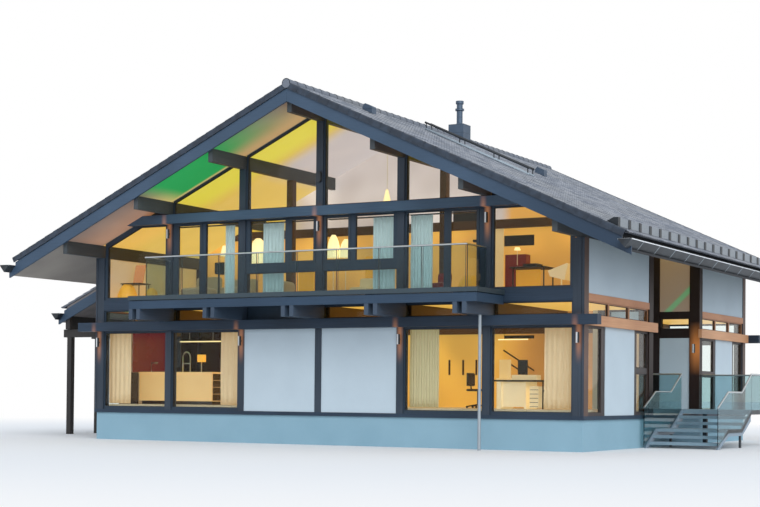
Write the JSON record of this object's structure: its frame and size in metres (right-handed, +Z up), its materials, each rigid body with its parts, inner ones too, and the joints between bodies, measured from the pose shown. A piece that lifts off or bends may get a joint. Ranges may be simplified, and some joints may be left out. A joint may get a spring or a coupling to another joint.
{
  "type": "detached house",
  "caption": "Two-storey timber post-and-beam house with a broad glazed gable, balcony, low-pitched tiled roof, side porch and entrance stair.",
  "frame": {"origin": "on the ground, under the middle of the house plan and below the ridge", "axes": "+X to the right across the gable front, +Y from the balcony front to the back, +Z up"},
  "size_m": [21.777, 17.612, 10.655],
  "materials": {
    "render": "matt white mineral render",
    "plinth_render": "matt grey render",
    "slate_timber": "slate blue satin wood stain",
    "brown_timber": "red-brown satin wood stain",
    "soffit_board": "pale painted boarding",
    "tile": "grey plain concrete tiles",
    "verge": "dark slate blue",
    "zinc": "dark weathered zinc",
    "steel": "brushed stainless steel",
    "glass": "clear insulating glass",
    "floor": "oiled boards",
    "inner": "warm white plaster",
    "door": "satin slate paint",
    "tread": "pale grey cast stone",
    "lamp": "satin aluminium",
    "guard": "galvanised steel"
  },
  "bodies": {
    "root": {"balcony_deck": "slate_timber", "balcony_fascia": "slate_timber", "balcony_glass": "glass", "balcony_handrail": "steel", "balcony_joists": "slate_timber", "base_board": "slate_timber", "chimney_block": "zinc", "chimney_flue": "steel", "downpipe": "steel", "entrance_door": "door", "entrance_platform": "tread", "floor_bands": "slate_timber", "front_frames": "slate_timber", "front_glass": "glass", "front_posts": "slate_timber", "gable_beams": "slate_timber", "gable_panels": "render", "ground_floor": "floor", "gutter_straps": "steel", "gutters": "zinc", "inner_beams": "brown_timber", "inner_joists": "brown_timber", "inner_walls": "inner", "plinth": "plinth_render", "porch_frame": "slate_timber", "porch_roof": "soffit_board", "porch_tiles": "tile", "purlins": "slate_timber", "rear_frames": "slate_timber", "rear_glass": "glass", "rear_posts": "slate_timber", "recess_back_wall": "render", "recess_beams": "brown_timber", "recess_flank_walls": "render", "ridge_tiles": "tile", "roof_ladder": "steel", "roof_left": "soffit_board", "roof_right": "soffit_board", "roof_vents": "tile", "side_beams": "brown_timber", "side_frames": "brown_timber", "side_glass": "glass", "side_panels": "render", "side_posts": "slate_timber", "snow_guards": "guard", "stair_glass": "glass", "stair_handrails": "steel", "stair_posts": "steel", "stair_stringers": "steel", "stair_treads": "tread", "tie_beams": "slate_timber", "tiles_left": "tile", "tiles_right": "tile", "upper_floor": "floor", "verge_boards": "verge", "verge_tiles": "verge", "wall_lamps": "lamp", "wall_speaker": "slate_timber"}
  },
  "joints": []
}
